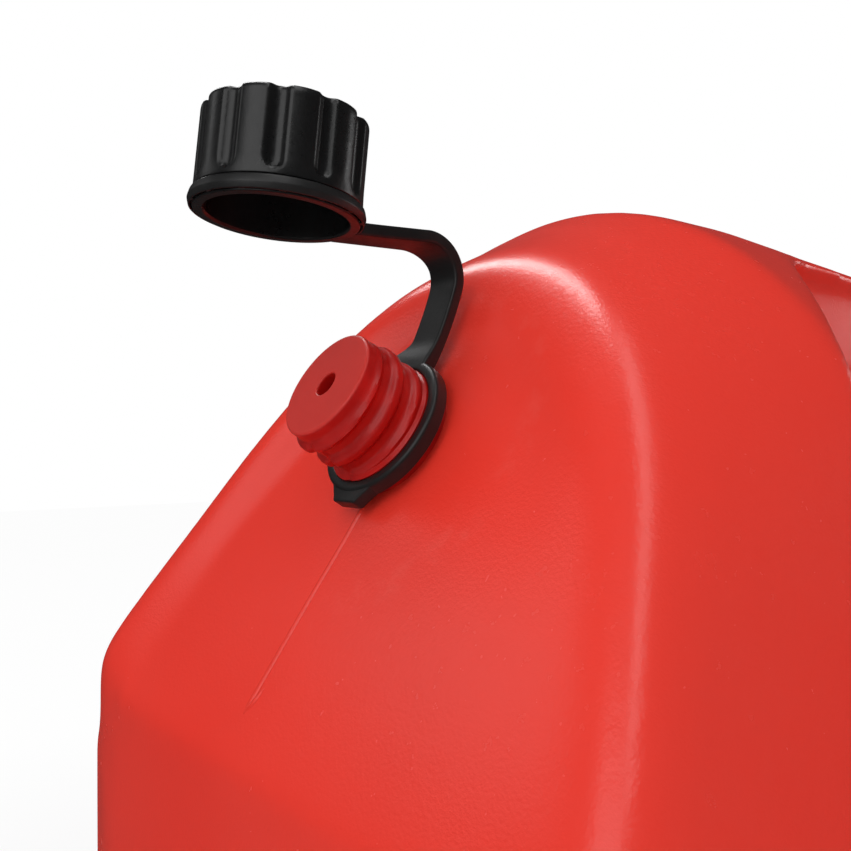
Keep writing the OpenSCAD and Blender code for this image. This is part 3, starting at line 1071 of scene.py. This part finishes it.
@dataclass
class Tether(Part):
    """The soft strap that keeps the vent cap on the can: ring, strap and the ring on the cap."""

    bore: float = 10.26
    ring: float = 12.46
    ring_thick: float = 2.6
    ring_lift: float = 1.8
    thick: float = 2.5
    lift: float = 0.3
    root_lift: float = 1.6
    tab_wide: float = 7.4
    tab_long: float = 1.3
    strap_wide: float = 8.2
    strap_thick: float = 2.0
    edge: float = 0.55
    root_flare: float = 2.4
    waist: float = 1.5
    taper: float = 1.0
    rise_deg: float = 13.0
    run: float = 14.3
    bend: float = 6.0
    bend_deg: float = 123.0
    arm_run: float = 12.6
    rows: tuple = (18, 32, 12)
    ring_mid: float = 2.1
    cap_bore: float = 11.61
    cap_ring: float = 12.81
    cap_ring_low: float = 1.15
    cap_ring_high: float = 3.25
    groove: float = 0.55
    webs: int = 14
    web_wide: float = 0.9
    still_deg: float = 8.0

    @property
    def foot(self) -> Vector:
        """Where the strap's centre line leaves the ring on the stud."""
        return Vector((self.ring - 1.0, 0, self.lift + self.strap_thick / 2))

    def on_bend(self, deg: float) -> Vector:
        """Finds a point of the strap's centre line.

        Args:
            deg: its angle round the bend.

        Returns:
            The point, in the vent's frame.
        """
        first, here = self.heading(self.rise_deg), self.heading(deg)
        centre = self.foot + self.run * first + self.bend * Vector((-first.z, 0, first.x))
        return centre + self.bend * Vector((here.z, 0, -here.x))

    def heading(self, deg: float) -> Vector:
        """The strap's direction at an angle round its bend."""
        return Vector((math.cos(math.radians(deg)), 0, math.sin(math.radians(deg))))

    @property
    def arm_end(self) -> Vector:
        """Where the strap meets the ring on the cap."""
        return self.on_bend(self.bend_deg) + self.arm_run * self.heading(self.bend_deg)

    @property
    def cap(self) -> Matrix:
        """The open vent cap's frame.

        Returns:
            The mouth's centre, with Z along the cap's axis.
        """
        turn = Matrix.Rotation(math.radians(self.at.cap_tilt), 4, "Y")
        mouth = self.arm_end - turn.to_3x3() @ Vector((self.cap_ring - 0.4, 0, self.ring_mid))
        return self.at.vent @ Matrix.Translation(mouth) @ turn

    def build(self) -> None:
        """Builds the three pieces."""
        self.build_ring()
        self.build_strap()
        self.build_cap_ring()

    def build_ring(self) -> None:
        """Builds the ring on the stud, with its pull tab."""
        bm, tab = bmesh.new(), bmesh.new()
        low, high, soft = self.ring_lift, self.ring_lift + self.ring_thick, 0.5
        outer, middle = self.ring - 0.4, (self.bore + self.ring) / 2
        revolve(bm, rounded([(middle, low, 0), (outer, low, soft), (outer, high, soft * 1.6),
                             (self.bore, high, soft), (self.bore, low, soft), (middle, low, 0)]), 96)
        end, half = self.ring + self.tab_long, self.tab_wide / 2
        side = rounded([(-self.ring + 3.0, half + 2.6, 0), (-self.ring - 0.4, half - 0.4, 2.0),
                        (-end, half - 1.0, 0.7), (-end, 0, 0)])
        prism(tab, side + [(x, -y) for x, y in reversed(side[:-1])], low, high - 0.3)
        soften(tab, 0.35)
        joined = bpy.data.meshes.new("tab")
        tab.to_mesh(joined)
        tab.free()
        bm.from_mesh(joined)
        bpy.data.meshes.remove(joined)
        made = to_object(bm, "tether_ring", self.at.vent)
        publish(made, Body.RING, self.finishes.tether, ["tether_neck_ring"])

    def stations(self) -> list[tuple[Vector, Vector, float, float, float]]:
        """Lists places along the strap.

        Returns:
            Centre, direction, reach to the left and right, and half thickness of each.
        """
        out = []
        half, thin = self.strap_wide / 2, self.strap_thick / 2
        first, last = self.heading(self.rise_deg), self.heading(self.bend_deg)
        rows, turns, ends = self.rows
        for i in range(rows + 1):
            run = -1.0 + (self.run + 1.0) * i / rows
            left = 1 - run / self.run
            wide = half + self.root_flare * (1 - ramp(run, 0.0, 4.5)) - self.waist * ramp(run, 0.0, 5.0)
            thick = (self.thick - self.strap_thick) / 2 * (1 - ramp(run, 0.0, 5.0))
            centre = self.foot + run * first + Vector((0, 0, thick + self.root_lift * left ** 2))
            fall = math.degrees(math.atan(2 * self.root_lift * left / self.run))
            out.append((centre, self.heading(self.rise_deg - fall), wide, half, thin + thick))
        for i in range(1, turns + 1):
            deg = self.rise_deg + (self.bend_deg - self.rise_deg) * i / turns
            waist = self.waist * (1 - ramp(i / turns, 0.3, 1.0))
            out.append((self.on_bend(deg), self.heading(deg), half - waist, half, thin))
        for i in range(1, ends + 1):
            run = (self.arm_run + 0.8) * i / ends
            taper = self.taper * ramp(run, -3.0, self.arm_run)
            out.append((self.on_bend(self.bend_deg) + run * last, last, half, half - taper, thin))
        return out

    def build_strap(self) -> None:
        """Builds the strap, which bends between the two rings."""
        bm = bmesh.new()
        loops = []
        for centre, along, left, right, thin in self.stations():
            up = Vector((-along.z, 0, along.x))
            corners = rounded([(left, 0, 0), (left, thin, self.edge), (-right, thin, self.edge),
                               (-right, 0, 0)], 4)
            section = corners + [(a, -b) for a, b in reversed(corners[1:-1])]
            verts = [bm.verts.new(centre + Vector((0, a, 0)) + up * b) for a, b in section]
            loops.append([bm.edges.new(pair) for pair in zip(verts, verts[1:] + verts[:1])])
        for a, b in zip(loops, loops[1:]):
            bmesh.ops.bridge_loops(bm, edges=a + b)
        close(bm)
        made = to_object(bm, "tether_strap", self.at.vent)
        publish(made, Body.RING, self.finishes.tether, ride=False)
        self.at.vent @ self.on_bend(self.rise_deg + self.still_deg) * MM
        self.at.vent @ self.on_bend(self.bend_deg - self.still_deg) * MM
        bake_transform(made)

    def build_cap_ring(self) -> None:
        """Builds the ring that the cap turns in, with a webbed groove in its underside."""
        bm = bmesh.new()
        low, high, roof = self.cap_ring_low, self.cap_ring_high, self.cap_ring_low + self.groove
        a, b, middle = self.cap_bore, self.cap_ring, (self.cap_ring_low + self.cap_ring_high) / 2
        side = [(a, middle, 0), (a, high, 0.15), (b - 0.25, high, 0.45), (b + 0.05, low + 0.9, 0.5),
                (b - 0.2, low, 0.35), (b - 0.45, low, 0.1), (b - 0.5, roof, 0.1), (a + 0.4, roof, 0.1),
                (a + 0.35, low, 0.1), (a, low, 0.1), (a, middle, 0)]
        revolve(bm, rounded(side, 3), 112)
        size = Matrix.Diagonal((b - a - 0.6, self.web_wide, self.groove + 0.2, 1))
        out = Matrix.Translation(((a + b) / 2, 0, low + self.groove / 2 + 0.1))
        for i in range(self.webs):
            turn = Matrix.Rotation(math.tau * (i + 0.5) / self.webs, 4, "Z")
            bmesh.ops.create_cube(bm, size=1, matrix=turn @ out @ size)
        made = to_object(bm, "cap_ring", self.cap)
        publish(made, Body.ARM, self.finishes.tether, ["tether_arm"])


@dataclass
class VentCap(Part):
    """The fluted screw cap of the vent, open and held by its tether."""

    tether: Tether
    outer: float = 12.2
    high: float = 16.0
    bore: float = 10.4
    top_thick: float = 2.4
    bead: float = 12.05
    mouth: float = 0.9
    bead_high: float = 1.4
    groove: float = 11.55
    groove_top: float = 3.4
    flutes: int = 11
    flute_wide: float = 0.36
    flute_deep: float = 0.75
    flute_low: float = 4.2
    lobe: float = 0.22
    flute_turn: float = 8.4
    flute_lip: tuple = (0.94, 1.25)
    flute_foot: float = 1.5
    rim: float = 0.3

    def flute(self, v: Vector) -> float:
        """Measures how far the side is drawn in.

        Args:
            v: a point of the cap.

        Returns:
            The rise, in millimetres, below 0.
        """
        if math.hypot(v.x, v.y) <= self.outer - 1.4 or v.z <= self.groove_top + 0.2:
            return 0.0
        turn = (math.degrees(math.atan2(v.y, v.x)) + self.flute_turn) / 360 * self.flutes
        from_mid = abs(turn - math.floor(turn) - 0.5)
        off = from_mid / (self.flute_wide / 2)
        fall = self.lobe * (1 - ramp(from_mid, 0.0, 0.5))
        fall *= ramp(v.z, self.groove_top + 0.4, self.flute_low + 2.0)
        start, end = self.flute_lip
        if off >= end:
            return -fall
        hollow = math.sqrt(max(0.0, 1 - off * off)) if off < start else 0.342 * (1 - ramp(off, start, end))
        across = min(from_mid * math.tau * self.outer / self.flutes, self.flute_foot)
        foot = self.flute_low + self.flute_foot - math.sqrt(max(0.0, self.flute_foot ** 2 - across ** 2))
        return -fall - self.flute_deep * hollow * ramp(v.z, foot, foot + 0.55)

    def build(self) -> None:
        """Spins the cap, draws in its flutes and dresses it."""
        floor, well = self.high - self.top_thick, self.high - self.rim
        side = [(0.0, floor, 0), (self.bore, floor, 0.5), (self.bore, self.mouth + 0.35, 0.2),
                (self.bore + 0.25, self.mouth, 0.15), (self.bead, self.mouth, 0.25),
                (self.bead, self.bead_high, 0.2), (self.groove, self.bead_high, 0.1),
                (self.groove, self.groove_top, 0.1), (self.outer, self.groove_top, 0.2),
                (self.outer, self.high, 1.0), (self.outer - 2.4, self.high, 0.3),
                (self.outer - 2.7, well, 0.3), (0.0, well, 0)]
        made = to_object(turned(side, 0.4, self.flutes * 24, self.flute), "vent_cap", self.tether.cap)
        publish(made, Body.CAP, self.finishes.cap, ["vent_cap"])


@dataclass
class Spout(Part):
    """The filler neck, and the pouring spout held on it by a screw collar."""

    bore: float = 16.0
    neck: float = 19.0
    neck_high: float = 19.0
    crest: float = 20.4
    pitch: float = 5.0
    gasket: float = 2.0
    flange: float = 19.5
    flange_thick: float = 3.0
    foot: float = 14.0
    tip: float = 9.0
    wall: float = 2.0
    long: float = 94.0
    tip_long: float = 14.0
    collar_bore: float = 20.7
    collar: float = 23.5
    collar_low: float = 1.5
    collar_top: float = 27.3
    ribs: int = 30
    rib: float = 1.0
    cap_wall: float = 1.8
    cap_skirt: float = 11.0
    cap_seal: float = 1.2
    fit: float = 0.06
    flank: tuple = (0.22, 0.42)
    rings: int = 5
    ring_high: float = 0.45
    ring_clear: float = 12.0
    taper_from: float = 8.0
    grips: int = 24
    grip: float = 0.22

    @property
    def foot_z(self) -> float:
        """The height of the flange's top over the deck."""
        return self.neck_high + self.gasket + self.flange_thick

    @property
    def top_z(self) -> float:
        """The height of the spout's end over the deck."""
        return self.foot_z + self.long

    def build(self) -> None:
        """Builds the four pieces."""
        self.build_neck()
        self.build_tube()
        self.build_collar()
        self.build_tip_cap()

    def build_neck(self) -> None:
        """Builds the threaded neck."""
        bore, neck, high = self.bore, self.neck, self.neck_high
        thread = Ribs(neck - 0.3, self.crest - neck, (3.0, 6.0), (high - 3.5, high - 1.5), self.flank,
                      pitch=self.pitch)
        bm = turned([(bore, 6.0, 0), (bore, -4.0, 0), (neck + 1.8, -1.0, 0), (neck, 1.2, 1.2),
                     (neck, high, 0.6), (bore, high, 0.5), (bore, 6.0, 0)], 0.5, 144, thread.rise)
        made = to_object(bm, "filler_neck", self.at.neck)
        publish(made, Body.CAN, self.finishes.stud, ["filler_neck"])

    def hoop(self, v: Vector) -> float:
        """Measures how far the rings on the spout's taper stand out.

        Args:
            v: a point of the spout.

        Returns:
            The rise, in millimetres.
        """
        share = (v.z - self.foot_z - self.ring_clear) / (self.long - self.tip_long - 2 * self.ring_clear)
        side = self.foot + (self.tip - self.foot) * share - 1.6
        if not 0 <= share <= 1 or math.hypot(v.x, v.y) < side:
            return 0.0
        return self.ring_high * ramp(math.cos(math.tau * share * self.rings), 0.55, 0.95)

    def build_tube(self) -> None:
        """Builds the spout, with a few moulded rings up its taper."""
        low, z, high = self.neck_high + self.gasket, self.foot_z, self.top_z
        tip_z, bend = high - self.tip_long, z + self.taper_from
        a, b = self.foot - self.wall, self.tip - self.wall
        bm = turned([(a, low + 1.0, 0), (a, low, 0.2), (self.flange, low, 0.4), (self.flange, z, 0.6),
                     (self.foot, z, 0.1), (self.foot, bend, 3.0), (self.tip, tip_z, 3.0),
                     (self.tip, high, 0.7), (b, high, 0.5), (b, tip_z, 3.0), (a, bend, 3.0),
                     (a, low + 1.0, 0)], 1.2, 96, self.hoop)
        made = to_object(bm, "filler_spout", self.at.neck)
        publish(made, Body.SPOUT, self.finishes.spout, ["filler_spout"])

    def build_collar(self) -> None:
        """Builds the ribbed screw collar."""
        low, high, lip = self.collar_low, self.collar_top, self.foot_z + 0.3
        bore, wide, hole = self.collar_bore, self.collar, self.foot + self.fit
        ribs = Ribs(wide - 1.0, self.rib, (low + 2.8, low + 3.6), (high - 2.4, high - 0.9), (-0.1, 0.75),
                    self.ribs)
        bm = turned([(bore, low + 6, 0), (bore, low, 0.4), (wide + 0.8, low, 0.6),
                     (wide + 0.8, low + 2.4, 0.4), (wide, low + 2.8, 0.3), (wide, high, 1.6),
                     (hole, high, 0.6), (hole, lip, 0.2), (bore, lip, 0.4), (bore, low + 6, 0)],
                    0.8, self.ribs * 10, ribs.rise)
        made = to_object(bm, "spout_collar", self.at.neck)
        publish(made, Body.COLLAR, self.finishes.cap, ["spout_collar"])

    def build_tip_cap(self) -> None:
        """Builds the push-on cap over the spout's tip."""
        inner, outer = self.tip + self.fit, self.tip + self.fit + self.cap_wall
        low, seat = self.top_z - self.cap_skirt, self.top_z + self.cap_seal
        high, side = seat + self.cap_wall, outer - 0.25
        grips = Ribs(outer - 0.6, self.grip, (low + 2.2, low + 3.0), (high - 2.2, high - 1.2), (-0.3, 0.7),
                     self.grips)
        bm = turned([(0.0, seat, 0), (inner, seat, 0.2), (inner, low, 0.4), (outer, low, 0.5),
                     (outer, low + 1.6, 0.2), (side, low + 1.9, 0.2), (side, high, 1.0), (0.0, high, 0)],
                    0.7, 144, grips.rise)
        made = to_object(bm, "spout_tip_cap", self.at.neck)
        publish(made, Body.TIP, self.finishes.cap, ["spout_tip_cap"])


@dataclass
class PlainNodes:
    """The CAD nodes that are shown as they are, with their finishes."""

    finishes: Finishes

    def dress(self) -> None:
        """Gives each node its material."""
        for name, material in (("vent_cap_seal", self.finishes.seal), ("neck_gasket", self.finishes.seal),
                               ("tip_cap_seal", self.finishes.seal), ("spout_strainer", self.finishes.spout)):
            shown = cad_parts[name]
            shown.data.materials.clear()
            shown.data.materials.append(material)
            LOG.info("%s: CAD node, %s", name, material.name)


@dataclass
class Studio:
    """Floor, light and camera."""

    at: Layout
    eye: tuple = (-85.15, -115.25, 0.18)
    azimuth: float = -38.2
    elevation: float = -0.7
    focal_px: float = 900.0
    floor_white: float = 0.96
    floor_near: float = 0.55
    floor_dull: float = 0.95
    floor_fade: tuple = (0.20, 0.55)
    floor_size: float = 2500.0
    floor_rough: float = 0.7
    surround: float = 0.54
    mirror_front: float = 0.02
    mirror_back: float = 0.04
    frame_px: float = 851.0
    sensor: float = 36.0
    clip: float = 0.005
    aim: tuple = (-100, 0, 210)
    # Name, centre in mm, width and height in mm, watts: a long key over the can, a softer one
    # before it, a fill from the left and two weak lights from behind and from the right
    lights: tuple = (("key", (-35, 540, 1060), (150, 720), 3.5),
                     ("soft", (-250, -350, 1100), (260, 1000), 1.8),
                     ("fill", (-800, -330, 560), (760, 760), 2.65),
                     ("back", (-680, 670, 670), (330, 330), 0.27),
                     ("rim", (850, -250, 380), (200, 300), 0.65))

    def build(self) -> None:
        """Sets up the whole studio."""
        self.floor()
        self.world()
        for light in self.lights:
            self.lamp(*light)
        self.camera()
        bpy.context.scene.view_settings.view_transform = "Standard"

    def camera(self) -> None:
        """The photograph's viewpoint."""
        data = bpy.data.cameras.new("camera")
        data.sensor_width, data.lens = self.sensor, self.sensor * self.focal_px / self.frame_px
        data.clip_start = self.clip
        eye = bpy.data.objects.new("camera", data)
        a, e = math.radians(self.azimuth), math.radians(self.elevation)
        back = Vector((math.sin(a) * math.cos(e), -math.cos(a) * math.cos(e), math.sin(e)))
        eye.location = (self.at.vent_at + Vector(self.eye)) * MM
        eye.rotation_euler = back.to_track_quat("Z", "Y").to_euler()
        bpy.context.scene.collection.objects.link(eye)
        bpy.context.scene.camera = eye

    def floor(self) -> None:
        """A pale floor that is white where the camera sees it bare."""
        bm = bmesh.new()
        bmesh.ops.create_grid(bm, x_segments=1, y_segments=1, size=self.floor_size)
        ground = to_object(bm, "floor")
        g = Graph("floor")
        g.feed("Base Color", (0.90, 0.90, 0.90, 1))
        g.feed("Roughness", self.floor_rough)
        white = g.node("ShaderNodeEmission", {}, (1, 1, 1, 1), 1.0)
        dull = g.node("ShaderNodeEmission", {}, (0, 0, 0, 1), 1.0)
        far = g.length(g.place()).step(*self.floor_fade)
        share = self.floor_near + (self.floor_white - self.floor_near) * far
        matt = Value(g, g.shader.outputs[0])
        bare = g.node("ShaderNodeMixShader", {}, g.ray("Camera") * share, matt, white)
        g.surface(g.node("ShaderNodeMixShader", {}, g.ray("Glossy") * self.floor_dull, bare, dull))
        ground.data.materials.append(g.owner)

    def world(self) -> None:
        """A white backdrop, an even surround, and a dark side behind the camera in reflections."""
        g = Graph("studio", world=True)
        bpy.context.scene.world = g.owner
        towards = g.node("ShaderNodeTexCoord", {}, output="Generated")
        a = math.radians(self.azimuth)
        ahead = g.node("ShaderNodeVectorMath", {"operation": "DOT_PRODUCT"}, towards,
                       (-math.sin(a), math.cos(a), 0.0), output="Value")
        mirror = self.mirror_front + (self.mirror_back - self.mirror_front) * ahead.step(0.1, 0.8)
        seen, mirrored = g.ray("Camera"), g.ray("Glossy")
        bare = (1.0 - seen - mirrored) * self.surround
        g.feed("Color", (1, 1, 1, 1))
        g.feed("Strength", seen + mirrored * mirror + bare)

    def lamp(self, name: str, place: tuple, size: tuple, watts: float) -> None:
        """One soft light, aimed at the can's upper part.

        Args:
            name: the lamp's name.
            place: its centre, in millimetres.
            size: its width and its height, in millimetres.
            watts: its power.
        """
        data = bpy.data.lights.new(name, "AREA")
        data.shape, data.energy = "RECTANGLE", watts
        data.size, data.size_y = (side * MM for side in size)
        made = bpy.data.objects.new(name, data)
        made.location = Vector(place) * MM
        aim = Vector(self.aim) * MM - made.location
        made.rotation_euler = aim.to_track_quat("-Z", "Y").to_euler()
        bpy.context.scene.collection.objects.link(made)


def main() -> None:
    """Builds every piece and the studio."""
    at = Layout()
    finishes = Finishes(at.vent_at * MM, Vector((0, math.radians(-at.vent_slope), 0)))
    tank, tether = Tank(at, finishes), Tether(at, finishes)
    for part in (tank, VentStud(at, finishes), PartingLine(at, finishes, tank), tether,
                 VentCap(at, finishes, tether), Spout(at, finishes)):
        part.build()
    PlainNodes(finishes).dress()
    Studio(at).build()


if __name__ == "__main__":
    logging.basicConfig(level=logging.INFO)
    main()
